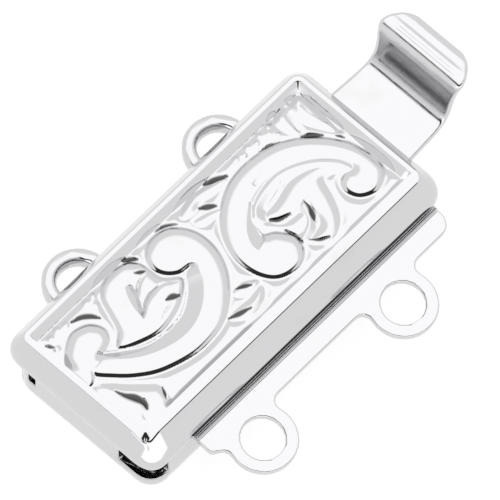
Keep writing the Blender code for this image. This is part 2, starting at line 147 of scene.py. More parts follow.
# Raised forms. Each has its height, the width of its rounded side, the slope of its foot, and its outline
FORMS = (
    # left scroll: its body and the round head at its inner end
    (0.31, 0.55, 0.92, (
        (-8.95, 0.52), (-8.30, -0.45), (-7.50, -1.25), (-6.50, -1.90), (-5.00, -2.38), (-3.80, -2.46),
        (-2.60, -2.25), (-1.50, -1.62), (-0.50, -0.60), (0.05, 0.55), (0.15, 1.60), (-0.10, 2.45),
        (-0.70, 3.12), (-1.60, 3.34), (-2.45, 2.98), (-2.78, 2.25), (-2.62, 1.60), (-2.10, 1.12),
        (-1.42, 0.98), (-1.95, 0.85), (-2.55, 0.15), (-3.60, -0.48), (-4.80, -0.60), (-6.00, -0.38),
        (-7.00, 0.25), (-8.00, 0.95),
    )),
    # left scroll's outer head, which runs into the frame
    (0.31, 0.55, 0.80, (
        (-9.90, 0.90), (-9.50, 1.65), (-8.80, 2.32), (-8.00, 2.68), (-7.15, 2.42), (-6.78, 1.75),
        (-7.05, 1.15), (-7.85, 0.78), (-8.20, 0.30), (-8.85, 0.35), (-9.50, 0.05),
    )),
    # right scroll: body and inner head
    (0.31, 0.55, 0.90, (
        (3.20, -1.70), (3.02, -2.35), (2.40, -2.82), (1.55, -2.82), (0.85, -2.45), (0.42, -1.65),
        (0.32, -0.60), (0.60, 0.42), (1.20, 1.38), (2.15, 2.20), (3.35, 2.70), (4.70, 2.78),
        (6.00, 2.52), (7.15, 1.90), (8.15, 0.88), (8.80, -0.30), (9.05, -1.35), (8.90, -2.20),
        (8.30, -2.70), (7.60, -2.82), (6.95, -2.48), (6.70, -1.88), (6.85, -1.38), (7.30, -1.08),
        (7.85, -1.12), (7.62, -0.35), (6.85, 0.45), (5.90, 1.02), (4.90, 1.28), (3.85, 1.20),
        (2.95, 0.78), (2.35, 0.15), (2.20, -0.45), (2.75, -0.85),
    )),
    # broad leaf in the left scroll
    (0.28, 0.55, 0.92, (
        (-7.05, 0.45), (-6.35, 1.15), (-6.00, 2.00), (-5.60, 2.95), (-4.75, 3.52), (-3.70, 3.48),
        (-3.08, 2.90), (-2.98, 2.25), (-2.88, 1.50), (-2.30, 0.95), (-2.30, 0.62), (-2.85, 0.22),
        (-3.70, -0.18), (-4.90, -0.38), (-6.00, -0.12),
    )),
    # leaves in the right scroll: a thin finger, then a stem with its branch
    (0.13, 0.16, 0.50, (
        (3.08, 0.42), (3.50, 0.70), (4.00, 0.84), (4.60, 0.96), (5.20, 1.00), (5.90, 0.86), (6.50, 0.58),
        (6.90, 0.28), (6.40, 0.44), (5.80, 0.62), (5.20, 0.66), (4.60, 0.56), (4.00, 0.40), (3.50, 0.34),
    )),
    (0.20, 0.44, 0.50, (
        (3.02, 0.12), (3.50, 0.22), (4.10, 0.30), (4.70, 0.46), (5.30, 0.58), (6.00, 0.55),
        (6.60, 0.40), (7.20, 0.02), (7.75, -0.55), (7.00, -0.50), (6.45, -0.50), (6.25, -0.80),
        (6.00, -1.50), (5.55, -2.35), (4.95, -2.88), (4.35, -3.00), (3.85, -2.80), (3.50, -2.35),
        (4.00, -2.30), (4.55, -2.15), (4.82, -1.75), (4.90, -1.20), (4.98, -0.70), (4.50, -0.74),
        (3.90, -0.74), (3.35, -0.62), (3.05, -0.20),
    )),
    # leaves over and under the middle
    (0.17, 0.28, 0.50, (
        (0.22, 3.05), (0.75, 3.42), (1.50, 3.55), (2.35, 3.30),
        (3.20, 2.92), (2.30, 2.86), (1.45, 3.02), (0.75, 2.86),
    )),
    (0.14, 0.20, 0.50, ((0.45, 2.42), (1.10, 2.32), (1.75, 1.98), (1.15, 1.98), (0.62, 2.05))),
    (0.17, 0.28, 0.50, (
        (-2.18, -2.36), (-1.55, -2.32), (-0.75, -2.38), (0.10, -2.30),
        (-0.25, -2.78), (-0.95, -2.98), (-1.65, -2.86),
    )),
    (0.15, 0.22, 0.50, (
        (-1.05, -1.55), (-0.45, -1.50), (0.18, -1.90), (0.02, -2.10), (-0.55, -2.10), (-0.95, -1.88),
    )),
    # leaves in the far corner
    (0.17, 0.36, 0.40, (
        (7.38, 1.95), (7.10, 2.70), (7.22, 3.45), (7.90, 3.72), (8.30, 3.60), (7.95, 3.00), (7.72, 2.40),
    )),
    (0.17, 0.34, 0.40, (
        (8.76, 0.90), (8.36, 1.60), (8.08, 2.30), (8.12, 3.00),
        (8.60, 3.55), (9.02, 3.30), (9.02, 2.20), (8.92, 1.30),
    )),
    # leaf in the near corner
    (0.15, 0.42, 0.30, (
        (-9.80, 0.30), (-8.80, -0.50), (-8.25, -1.15), (-7.60, -1.85), (-7.20, -2.35), (-7.30, -3.10),
        (-7.70, -3.90), (-9.05, -4.00), (-9.90, -3.80), (-9.90, -1.20),
    )),
)

# Hollow sides, from a ridge line down to a rim line: the height at the ridge, the fall, and both lines
HOLLOWS = (
    (0.33, 0.34, (
        (-8.10, 0.98), (-7.85, 0.38), (-7.10, -0.45), (-6.00, -1.10), (-4.70, -1.45), (-3.50, -1.35),
        (-2.45, -0.85), (-1.55, 0.00), (-1.10, 0.95),
    ), (
        (-7.95, 1.00), (-7.00, 0.25), (-6.00, -0.38), (-4.80, -0.60), (-3.60, -0.48), (-2.55, 0.15),
        (-1.95, 0.85), (-1.42, 0.98),
    )),
    (0.33, 0.30, (
        (1.35, -0.92), (1.38, -0.40), (1.70, 0.20), (2.30, 0.78), (3.00, 1.25),
    ), (
        (2.10, -0.72), (2.18, -0.20), (2.40, 0.20), (2.75, 0.62), (3.05, 1.00),
    )),
    # the folds between the fingers of the broad leaf
    (0.31, 0.15, (
        (-4.50, 2.46), (-4.80, 2.00), (-5.02, 1.40), (-5.14, 0.62),
    ), (
        (-4.22, 2.32), (-4.42, 1.80), (-4.72, 1.20), (-5.08, 0.60),
    )),
    (0.31, 0.10, (
        (-4.46, 1.52), (-3.90, 1.88), (-3.15, 1.98),
    ), (
        (-4.36, 1.86), (-3.88, 2.16), (-3.15, 2.26),
    )),
    (0.31, 0.12, (
        (-5.02, 0.56), (-4.45, 0.92), (-3.80, 1.06), (-3.15, 0.96), (-2.55, 0.50),
    ), (
        (-4.92, 0.86), (-4.40, 1.22), (-3.75, 1.36), (-3.05, 1.26), (-2.42, 0.74),
    )),
    (0.28, 0.09, (
        (-4.62, -0.26), (-4.00, -0.10), (-3.40, -0.12), (-3.04, -0.20),
    ), (
        (-4.46, 0.00), (-4.00, 0.18), (-3.40, 0.18), (-3.00, 0.04),
    )),
)

# Gentle slopes laid against a rim, from its line down: the height at the line, the slope, and the line
RAMPS = (
    (0.25, 0.45, (
        (2.62, 0.40), (3.00, 0.76), (3.60, 0.98), (4.30, 1.10), (5.00, 1.12), (5.80, 0.88), (6.70, 0.33),
        (7.42, -0.45), (7.66, -1.00),
    )),
    (0.17, 0.45, ((4.74, -0.80), (4.45, -1.42), (4.05, -1.80), (3.40, -2.04))),
)

# Soft valleys between the fingers of the leaves: the depth, then x, y and half width along each
VALLEYS = (
    (0.08, ((7.55, 2.20, 0.16), (7.66, 3.00, 0.34), (8.00, 3.50, 0.20))),
    (0.07, ((8.82, 1.50, 0.14), (8.62, 2.30, 0.30), (8.66, 3.00, 0.20))),
    (0.10, ((-8.30, -2.30, 0.16), (-8.50, -2.80, 0.36), (-8.92, -3.00, 0.20))),
    (0.05, ((3.40, 0.44, 0.06), (4.10, 0.56, 0.12), (4.90, 0.80, 0.06))),
    (0.07, (
        (3.90, 1.66, 0.16), (4.90, 1.78, 0.32), (5.90, 1.56, 0.36), (6.90, 0.90, 0.36), (7.75, 0.00, 0.26),
    )),
)

# Slits cut by the stamping tool, with painted shade on their floors: x, y and half width along each
SLITS = (
    ((-3.62, 2.62, 0.06), (-3.40, 2.46, 0.15), (-3.18, 2.36, 0.06)),
    ((-3.65, 0.50, 0.06), (-3.30, 0.42, 0.22), (-3.00, 0.24, 0.08)),
    ((-7.60, 3.10, 0.08), (-7.10, 2.94, 0.18), (-6.72, 2.62, 0.18), (-6.48, 2.22, 0.06)),
    ((-9.36, 3.20, 0.04), (-9.28, 3.00, 0.09), (-9.18, 2.78, 0.04)),
    ((-3.42, 3.62, 0.08), (-3.15, 3.40, 0.18), (-2.92, 3.10, 0.06)),
    ((-1.20, 3.56, 0.04), (-0.70, 3.42, 0.12), (-0.18, 2.98, 0.04)),
    ((2.28, 3.56, 0.08), (2.80, 3.36, 0.20), (3.38, 3.02, 0.08)),
    ((1.18, 2.80, 0.10), (1.45, 2.58, 0.22), (1.82, 2.30, 0.08)),
    ((-2.20, -2.32, 0.08), (-1.70, -2.54, 0.20), (-1.10, -2.74, 0.06)),
    ((-0.82, -1.48, 0.07), (-0.48, -1.68, 0.20), (-0.18, -1.90, 0.07)),
    ((5.40, 2.78, 0.03), (6.00, 2.66, 0.08), (6.60, 2.32, 0.03)),
    ((7.42, 1.84, 0.08), (7.78, 1.56, 0.18), (8.20, 1.12, 0.06)),
    ((8.60, 0.66, 0.05), (8.72, 0.48, 0.09), (8.82, 0.28, 0.04)),
    ((3.00, -0.14, 0.06), (3.35, -0.46, 0.15), (3.95, -0.66, 0.06)),
    ((3.14, -1.05, 0.06), (3.26, -1.60, 0.12), (3.22, -2.15, 0.05)),
    ((4.92, -0.66, 0.06), (4.84, -1.10, 0.12), (4.66, -1.46, 0.20), (4.48, -1.74, 0.06)),
    ((3.60, -2.30, 0.05), (3.90, -2.66, 0.11), (4.35, -2.92, 0.05)),
    (
        (-8.88, -1.00, 0.05), (-8.74, -1.50, 0.16), (-8.50, -1.98, 0.28),
        (-8.40, -2.50, 0.18), (-8.52, -2.78, 0.08),
    ),
    ((-7.12, -2.48, 0.04), (-7.28, -2.78, 0.10), (-7.46, -3.06, 0.04)),
)

# Pebbles of the stippled ground: x, y and radius
PEBBLES = (
    # x, y, radius
    (4.30, 3.30, 0.24), (4.75, 3.12, 0.20), (5.15, 3.36, 0.24), (5.62, 3.14, 0.22), (6.00, 3.40, 0.24),
    (6.40, 3.06, 0.26), (6.66, 3.42, 0.22), (6.72, 2.70, 0.20), (-8.95, 3.20, 0.26), (-8.40, 3.34, 0.24),
    (-7.90, 3.18, 0.22), (-6.35, 3.30, 0.26), (-6.10, 2.86, 0.22), (-5.85, 3.36, 0.20), (-9.15, 2.62, 0.24),
)


def smooth_line(points, steps, closed=False):
    """Points on a smooth curve through the given ones."""
    points = np.array(points, float)
    if closed:
        padded = np.vstack([points[-1], points, points[:2]])
    else:
        padded = np.vstack([2 * points[0] - points[1], points, 2 * points[-1] - points[-2]])
    found = []
    for i in range(1, len(padded) - 2):
        before, start, end, after = padded[i - 1 : i + 3]
        for t in np.arange(steps) / steps:
            bend = (2 * before - 5 * start + 4 * end - after) * t**2
            twist = (3 * start - before - 3 * end + after) * t**3
            found.append(0.5 * (2 * start + (end - before) * t + bend + twist))
    if not closed:
        found.append(points[-1])
    return np.array(found)


def line_distance(x, y, line, closed=False):
    """Distance of each point from a line of short straight runs."""
    ends = np.roll(line, -1, axis=0) if closed else line[1:]
    starts = line if closed else line[:-1]
    nearest = np.full(x.shape, np.inf)
    for (ax, ay), (bx, by) in zip(starts, ends):
        dx, dy = bx - ax, by - ay
        along = np.clip(((x - ax) * dx + (y - ay) * dy) / max(dx * dx + dy * dy, TINY), 0, 1)
        nearest = np.minimum(nearest, (x - ax - along * dx) ** 2 + (y - ay - along * dy) ** 2)
    return np.sqrt(nearest)


def inside_outline(x, y, line):
    """Whether each point lies inside a closed outline."""
    crossings = np.zeros(x.shape, int)
    for (ax, ay), (bx, by) in zip(line, np.roll(line, -1, axis=0)):
        spans = (ay > y) != (by > y)
        if by != ay:
            crossings += spans & (x < ax + (y - ay) * (bx - ax) / (by - ay))
    return crossings % 2 == 1


def ease(value):
    """A smooth step that goes from 0 to 1 as the value does."""
    value = np.clip(value, 0, 1)
    return value * value * (3 - 2 * value)


def rounded_side(depth, rise, side, slope):
    """Height of a form at a depth inside its foot: a narrow steep foot, then a long round slope."""
    foot = slope * np.clip(depth, 0, FOOT_WIDTH)
    share = np.clip((depth - FOOT_WIDTH) / side, 0, 1)
    crown = CROWN_HEIGHT * ease((depth - side) / CROWN_WIDTH)
    return foot + (rise - slope * FOOT_WIDTH) * (1 - (1 - share) ** 2) + crown


def cut_reach(x, y, cut):
    """How deep each point lies in a cut: 0 at its rim, 1 on its middle line."""
    reach = np.zeros(x.shape)
    for px, py, half in smooth_line(cut, CUT_STEPS):
        reach = np.maximum(reach, 1 - np.sqrt((x - px) ** 2 + (y - py) ** 2) / half)
    return reach


def slit_shade(x, y):
    """How much painted shade each point of the slits takes, from 0 at their rims to 1 on their floors."""
    reach = np.zeros(x.shape)
    for slit in SLITS:
        reach = np.maximum(reach, cut_reach(x, y, slit))
    return ease((reach - SHADE_START) / SHADE_SPREAD)


def raised_forms(x, y):
    """Height of the forms over the ground, and how far outside all of them each point lies."""
    height = np.zeros(x.shape)
    outside = np.full(x.shape, np.inf)
    for rise, side, slope, outline in FORMS:
        line = smooth_line(outline, LINE_STEPS, closed=True)
        distance = line_distance(x, y, line, closed=True)
        depth = np.where(inside_outline(x, y, line), distance, -distance) + FOOT_SPREAD
        height = np.maximum(height, rounded_side(depth, rise, side, slope))
        outside = np.minimum(outside, np.maximum(-depth, 0))
    for top, fall, ridge, rim in HOLLOWS:
        ridge_line, rim_line = smooth_line(ridge, LINE_STEPS), smooth_line(rim, LINE_STEPS)
        region = inside_outline(x, y, np.vstack([ridge_line, rim_line[::-1]]))
        from_ridge = line_distance(x, y, ridge_line)
        share = from_ridge / (from_ridge + line_distance(x, y, rim_line) + TINY)
        height = np.where(region, np.minimum(height, top - fall * share), height)
    return height, outside


def stippled_ground(x, y, outside):
    """Height of the ground, which swells away from the forms and carries its pebbles."""
    ground = SWELL_HEIGHT * ease(outside / SWELL_REACH)
    for px, py, radius in PEBBLES:
        pebble = ease(1 - np.hypot(x - px, y - py) / radius)
        ground = ground + PEBBLE_HEIGHT * pebble * ease(outside / PEBBLE_REACH)
    return ground


def near_groove(x, from_near):
    """Depth of the groove inside the near side of the frame."""
    wall = 1 - np.clip((from_near - GROOVE_START) / GROOVE_WIDTH, 0, 1)
    groove = GROOVE_DEPTH * wall * ease((x - GROOVE_X) / GROOVE_FADE)
    return groove * (1 - GROOVE_LOSS * ease((x - GROOVE_LOSS_X) / GROOVE_LOSS_FADE))


def stamped_height(x, y):
    """Height of the stamping under the frame's flat top, in millimetres, at arrays of x and y."""
    from_x, from_y = x - PANEL_SHIFT_X, y - PANEL_SHIFT_Y
    insets = {
        "left": PANEL_X + from_x,
        "right": PANEL_X - from_x,
        "near": PANEL_Y + from_y,
        "far": PANEL_Y - from_y,
    }
    frame_side = np.ones(x.shape)
    edge = np.full(x.shape, np.inf)
    for side, (flat, slope) in FRAME_SIDES.items():
        frame_side = np.minimum(frame_side, np.clip((insets[side] - flat) / slope, 0, 1))
        edge = np.minimum(edge, insets[side] - flat - slope)
    height, outside = raised_forms(x, y)
    height = np.maximum(height, stippled_ground(x, y, outside))
    for top, slope, rim in RAMPS:
        height = np.maximum(height, top - slope * line_distance(x, y, smooth_line(rim, LINE_STEPS)))
    for depth, valley in VALLEYS:
        height = height - depth * cut_reach(x, y, valley)
    for slit in SLITS:
        height = height - SLIT_DEPTH * cut_reach(x, y, slit)
    trough = TROUGH_DEPTH * (1 - ease(edge / TROUGH_WIDTH))
    near_flat, _ = FRAME_SIDES["near"]
    groove = near_groove(x, insets["near"] - near_flat)
    field = height - trough - groove - GROUND_DEPTH
    from_corner = (insets["left"] + insets["near"]) / math.sqrt(2)
    return field * frame_side - CORNER_DROP * np.clip(1 - from_corner / CORNER_REACH, 0, 1)


def round_the_corner(x, y):
    """Moves points near the panel's corners so that its corners come out round."""
    from_x, from_y = x - PANEL_SHIFT_X, y - PANEL_SHIFT_Y
    inside_x = np.abs(from_x) - (PANEL_X - PANEL_CORNER)
    inside_y = np.abs(from_y) - (PANEL_Y - PANEL_CORNER)
    corner = (inside_x > 0) & (inside_y > 0)
    longest = np.maximum(inside_x, inside_y)
    share = np.where(corner, longest / np.maximum(np.hypot(inside_x, inside_y), TINY), 1)
    new_x = np.where(corner, np.sign(from_x) * (PANEL_X - PANEL_CORNER + inside_x * share), from_x)
    new_y = np.where(corner, np.sign(from_y) * (PANEL_Y - PANEL_CORNER + inside_y * share), from_y)
    return new_x + PANEL_SHIFT_X, new_y + PANEL_SHIFT_Y


def crease_places(half, low_side, high_side):
    """Where the frame's creases lie across the panel, measured from its middle."""
    low_flat, low_slope = FRAME_SIDES[low_side]
    high_flat, high_slope = FRAME_SIDES[high_side]
    return [
        low_flat - half,
        low_flat + low_slope - half,
        half - high_flat,
        half - (high_flat + high_slope),
    ]


def panel_lines(half, count, low_side, high_side):
    """Even grid lines across the panel, moved to meet the frame's creases at both ends exactly."""
    lines = np.linspace(-half, half, count + 1)
    for crease in crease_places(half, low_side, high_side):
        lines[np.argmin(np.abs(lines - crease))] = crease
    return lines


def panel_border():
    """Numbers of the panel's outermost points, once round."""
    across = PANEL_ROWS + 1
    near = [i * across for i in range(PANEL_COLUMNS + 1)]
    right = [PANEL_COLUMNS * across + j for j in range(1, across)]
    far = [i * across + PANEL_ROWS for i in range(PANEL_COLUMNS - 1, -1, -1)]
    left = list(range(PANEL_ROWS - 1, 0, -1))
    return near + right + far + left


def edge_reach(px, py):
    """How far the cover's edge stands out along x and y, beside a point of the panel's border."""
    from_x, from_y = px - PANEL_SHIFT_X, py - PANEL_SHIFT_Y
    step_x = max(0.0, abs(from_x) - (PANEL_X - PANEL_CORNER))
    step_y = max(0.0, abs(from_y) - (PANEL_Y - PANEL_CORNER))
    length = math.hypot(step_x, step_y)
    bulge = 1 + CORNER_BULGE * (2 * step_x * step_y / length**2) ** 2
    out_x = bulge * step_x / length * (math.copysign(COVER_X - PANEL_X, from_x) - PANEL_SHIFT_X)
    out_y = bulge * step_y / length * (math.copysign(COVER_Y - PANEL_Y, from_y) - PANEL_SHIFT_Y)
    return out_x, out_y


def is_window_level(z):
    """Whether a level of the cover's edge is low enough to be cut by the window."""
    return z <= WINDOW_TOP + SAME_LEVEL


def cover_points():
    """Points and faces of the cover, and each point's painted shade: the panel, its rolled edge and its
    lining.
    """
    columns = PANEL_SHIFT_X + panel_lines(PANEL_X, PANEL_COLUMNS, "left", "right")
    rows = PANEL_SHIFT_Y + panel_lines(PANEL_Y, PANEL_ROWS, "near", "far")
    grid_x, grid_y = np.meshgrid(columns, rows, indexing="ij")
    heights = COVER_TOP + stamped_height(grid_x, grid_y)
    flat_x, flat_y = round_the_corner(grid_x, grid_y)
    points = np.stack([flat_x, flat_y, heights], -1).reshape(-1, 3).tolist()
    across = PANEL_ROWS + 1
    faces = []
    for i in range(PANEL_COLUMNS):
        for j in range(PANEL_ROWS):
            first = i * across + j
            faces.append((first, first + across, first + across + 1, first + 1))
    border = panel_border()
    count = len(border)
    rim = [(px, py, *edge_reach(px, py), COVER_TOP - pz) for px, py, pz in (points[i] for i in border)]
    window_end = PANEL_X + PANEL_SHIFT_X - ON_EDGE
    in_window = [px > window_end and abs(py) < WINDOW_HALF for px, py, _, _, _ in rim]
    open_run = [in_window[i] and in_window[(i + 1) % count] for i in range(count)]

    def add_ring(share, z, follow=0.0):
        start = len(points)
        for px, py, out_x, out_y, drop in rim:
            points.append((px + share * out_x, py + share * out_y, z - follow * drop))
        return [start + i for i in range(count)]

    def skin(above, below, top_z):
        for i in range(count):
            j = (i + 1) % count
            if not (open_run[i] and is_window_level(top_z)):
                faces.append((above[i], below[i], below[j], above[j]))

    outer = [border]
    for share, z in COVER_EDGE[1:]:
        outer.append(add_ring(share, z, 1 - share**3))
        skin(outer[-2], outer[-1], COVER_EDGE[len(outer) - 2][1])
    lining = []
    for share, z in COVER_LINING:
        lining.append(add_ring(share, z))
        if len(lining) > 1:
            skin(lining[-1], lining[-2], z)
    faces.append(tuple(lining[-1]))
    for i in range(count):
        j = (i + 1) % count
        if not open_run[i]:
            faces.append((outer[-1][i], lining[0][i], lining[0][j], outer[-1][j]))
    outer_levels = [k for k, (_, z) in enumerate(COVER_EDGE) if is_window_level(z)]
    lining_levels = [k for k, (_, z) in enumerate(COVER_LINING) if is_window_level(z)]
    top_out, top_in = outer[outer_levels[0]], lining[lining_levels[-1]]
    window = [i for i in range(count) if open_run[i]]
    for i in window:
        j = (i + 1) % count
        faces.append((top_out[i], top_out[j], top_in[j], top_in[i]))
    for i in (window[0], (window[-1] + 1) % count):
        jamb = [outer[k][i] for k in outer_levels] + [lining[k][i] for k in lining_levels]
        faces.append(tuple(jamb))
    shade = slit_shade(grid_x, grid_y).reshape(-1).tolist()
    return points, faces, shade + [0.0] * (len(points) - len(shade))


def new_piece(name, points, faces, sharp_angle=None):
    """A smooth shaded object from points in millimetres, with its folds over an angle left sharp."""
    mesh = bpy.data.meshes.new(name)
    mesh.from_pydata([(px * MM, py * MM, pz * MM) for px, py, pz in points], [], faces)
    shape = bmesh.new()
    shape.from_mesh(mesh)
    bmesh.ops.recalc_face_normals(shape, faces=shape.faces)
    shape.to_mesh(mesh)
    shape.free()
    mesh.shade_smooth()
    if sharp_angle:
        mesh.set_sharp_from_angle(angle=math.radians(sharp_angle))
    piece = bpy.data.objects.new(name, mesh)
    bpy.context.scene.collection.objects.link(piece)
    return piece


points, faces, shade = cover_points()
cover = new_piece("stamped_cover", points, faces)
# Each point's share of the painted shade on the slits' floors, read by the cover's material
slit_shade_values = cover.data.attributes.new("slit_shade", "FLOAT", "POINT")
slit_shade_values.data.foreach_set("value", shade)

# Folds that show as sharp, in degrees, on the frame's creases and anywhere else, and how near to a crease
# an edge has to lie
CREASE_ANGLE = 20
FOLD_ANGLE = 75
ON_CREASE = 1e-4


def lies_along(ends, places):
    """Whether both ends of an edge lie at one of the places."""
    return any(abs(ends[0] - place) + abs(ends[1] - place) < ON_CREASE for place in places)


def mark_creases(mesh):
    """Marks the frame's creases as sharp, and elsewhere only the steepest folds."""
    crease_x = [PANEL_SHIFT_X + place for place in crease_places(PANEL_X, "left", "right")]
    crease_y = [PANEL_SHIFT_Y + place for place in crease_places(PANEL_Y, "near", "far")]
    shape = bmesh.new()
    shape.from_mesh(mesh)
    for line in shape.edges:
        if len(line.link_faces) != 2:
            continue
        ends_x = [point.co.x / MM for point in line.verts]
        ends_y = [point.co.y / MM for point in line.verts]
        on_crease = lies_along(ends_x, crease_x) or lies_along(ends_y, crease_y)
        if line.calc_face_angle(0) > math.radians(CREASE_ANGLE if on_crease else FOLD_ANGLE):
            line.smooth = False
    shape.to_mesh(mesh)
    shape.free()


mark_creases(cover.data)

# Haze on the plate: how fine its cloud is, and the part of it that shows as dull spots
HAZE_SCALE = 420.0
SPOT_START = 0.62
SPOT_FULL = 0.80


def wear_group():
    """Node group for plated sheet: faint polishing lines, the stamping's soft dents and a little dulling."""
    group = bpy.data.node_groups.new("polished_plate", "ShaderNodeTree")
    for name, kind, default in (
        ("Colour", "NodeSocketColor", (0.72, 0.72, 0.73, 1)),
        ("Dull Colour", "NodeSocketColor", (0.6, 0.6, 0.6, 1)),
        ("Line Scale", "NodeSocketFloat", 900.0),
        ("Dent Scale", "NodeSocketFloat", 260.0),
        ("Polish", "NodeSocketFloat", 0.06),
        ("Dullness", "NodeSocketFloat", 0.06),
        ("Stretch", "NodeSocketVector", (0.12, 1.0, 1.0)),
        ("Line Depth", "NodeSocketFloat", 0.06),
    ):
        socket = group.interface.new_socket(name=name, in_out="INPUT", socket_type=kind)
        socket.default_value = default
    for name, kind in (
        ("Colour", "NodeSocketColor"),
        ("Roughness", "NodeSocketFloat"),
        ("Height", "NodeSocketFloat"),
    ):
        group.interface.new_socket(name=name, in_out="OUTPUT", socket_type=kind)
    nodes, links = group.nodes, group.links
    given = nodes.new("NodeGroupInput")
    result = nodes.new("NodeGroupOutput")
    place = nodes.new("ShaderNodeTexCoord")

    def noise(vector, detail):
        texture = nodes.new("ShaderNodeTexNoise")
        texture.inputs["Detail"].default_value = detail
        links.new(vector, texture.inputs["Vector"])
        return texture

    def put_out(name, amount, factor, base):
        total = nodes.new("ShaderNodeMath")
        total.operation = "MULTIPLY_ADD"
        for i, value in enumerate((amount, factor, base)):
            links.new(value, total.inputs[i])
        links.new(total.outputs["Value"], result.inputs[name])

    stretch = nodes.new("ShaderNodeMapping")
    links.new(given.outputs["Stretch"], stretch.inputs["Scale"])
    links.new(place.outputs["Object"], stretch.inputs["Vector"])
    lines = noise(stretch.outputs["Vector"], 6.0)
    lines.inputs["Roughness"].default_value = 0.7
    links.new(given.outputs["Line Scale"], lines.inputs["Scale"])

    dents = noise(place.outputs["Object"], 2.0)
    links.new(given.outputs["Dent Scale"], dents.inputs["Scale"])

    haze = noise(place.outputs["Object"], 4.0)
    haze.inputs["Scale"].default_value = HAZE_SCALE
    spots = nodes.new("ShaderNodeValToRGB")
    spots.color_ramp.elements[0].position = SPOT_START
    spots.color_ramp.elements[1].position = SPOT_FULL
    links.new(haze.outputs["Fac"], spots.inputs["Fac"])

    tint = nodes.new("ShaderNodeMix")
    tint.data_type = "RGBA"
    links.new(spots.outputs["Color"], tint.inputs["Factor"])
    links.new(given.outputs["Colour"], tint.inputs["A"])
    links.new(given.outputs["Dull Colour"], tint.inputs["B"])
    links.new(tint.outputs["Result"], result.inputs["Colour"])
    put_out("Roughness", lines.outputs["Fac"], given.outputs["Dullness"], given.outputs["Polish"])
    put_out("Height", lines.outputs["Fac"], given.outputs["Line Depth"], dents.outputs["Fac"])
    return group


polished_plate = wear_group()
RELIEF_HEIGHT = 0.02 * MM


def plated_metal(name, finish, relief_strength):
    """A material of plated sheet with its own values in the shared group."""
    material = bpy.data.materials.new(name)
    material.use_nodes = True
    nodes, links = material.node_tree.nodes, material.node_tree.links
    shader = nodes["Principled BSDF"]
    shader.inputs["Metallic"].default_value = 1.0
    wear = nodes.new("ShaderNodeGroup")
    wear.node_tree = polished_plate
    for socket, value in finish.items():
        wear.inputs[socket].default_value = value
    relief = nodes.new("ShaderNodeBump")
    relief.inputs["Strength"].default_value = relief_strength
    relief.inputs["Distance"].default_value = RELIEF_HEIGHT
    links.new(wear.outputs["Colour"], shader.inputs["Base Color"])
    links.new(wear.outputs["Roughness"], shader.inputs["Roughness"])
    links.new(wear.outputs["Height"], relief.inputs["Height"])
    links.new(relief.outputs["Normal"], shader.inputs["Normal"])
    return material


COVER_FINISH = {
    "Colour": (0.625, 0.625, 0.635, 1),
    "Dull Colour": (0.58, 0.58, 0.58, 1),
    "Line Scale": 1500.0,
    "Dent Scale": 320.0,
    "Polish": 0.05,
    "Dullness": 0.05,
}
COVER_RELIEF = 0.4

cover_plate = plated_metal("cover_plate", COVER_FINISH, COVER_RELIEF)
cover_nodes, cover_links = cover_plate.node_tree.nodes, cover_plate.node_tree.links
# Painted shade: the slit_shade attribute mixes the cover's colour towards a dark grey on the slits' floors
slit_shade_mask = cover_nodes.new("ShaderNodeAttribute")
slit_shade_mask.attribute_name = "slit_shade"
slit_shade_mix = cover_nodes.new("ShaderNodeMix")
slit_shade_mix.data_type = "RGBA"
slit_shade_mix.inputs["B"].default_value = SLIT_SHADE_COLOUR
base_colour = cover_nodes["Principled BSDF"].inputs["Base Color"]
cover_links.new(slit_shade_mask.outputs["Fac"], slit_shade_mix.inputs["Factor"])
cover_links.new(base_colour.links[0].from_socket, slit_shade_mix.inputs["A"])
cover_links.new(slit_shade_mix.outputs["Result"], base_colour)
cover.data.materials.append(cover_plate)
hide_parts("case_cover")
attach(cover, "case")

# The tray: folded from the same sheet, plain polished inside and out, with corner reliefs at its folds.
# It stays the CAD shape, whose edges are softened here, and carries its two thick rings.
TRAY_ROUND = 0.09
TRAY_ROUND_STEPS = 2
SLIVER = 0.008
FLAT_ANGLE = 1.5
EDGE_ANGLE = 40
TRAY_FINISH = {
    "Colour": (0.62, 0.62, 0.63, 1),
    "Dull Colour": (0.57, 0.57, 0.57, 1),
    "Line Scale": 1100.0,
    "Dent Scale": 260.0,
    "Polish": 0.07,
    "Dullness": 0.06,
}
TRAY_RELIEF = 0.7


def soft_edged(name, node, width, steps):
    """A copy of a CAD piece with its flat faces joined up and its edges broken."""
    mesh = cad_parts[node].data.copy()
    mesh.name = name
    mesh.materials.clear()
    shape = bmesh.new()
    shape.from_mesh(mesh)
    bmesh.ops.remove_doubles(shape, verts=shape.verts, dist=SLIVER * MM)
    bmesh.ops.dissolve_degenerate(shape, dist=SLIVER * MM, edges=shape.edges)
    bmesh.ops.dissolve_limit(
        shape, angle_limit=math.radians(FLAT_ANGLE), verts=shape.verts, edges=shape.edges
    )
    shape.to_mesh(mesh)
    shape.free()
    mesh.shade_smooth()
    mesh.set_sharp_from_angle(angle=math.radians(EDGE_ANGLE))
    piece = bpy.data.objects.new(name, mesh)
    bpy.context.scene.collection.objects.link(piece)
    broken = piece.modifiers.new("broken_edges", "BEVEL")
    broken.width = width * MM
    broken.segments = steps
    broken.limit_method = "ANGLE"
    broken.angle_limit = math.radians(EDGE_ANGLE)
    broken.use_clamp_overlap = False
    broken.harden_normals = True
    return piece


tray = soft_edged("folded_tray", "case_base", TRAY_ROUND, TRAY_ROUND_STEPS)
tray.data.materials.append(plated_metal("tray_plate", TRAY_FINISH, TRAY_RELIEF))
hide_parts("case_base")
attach(tray, "case")

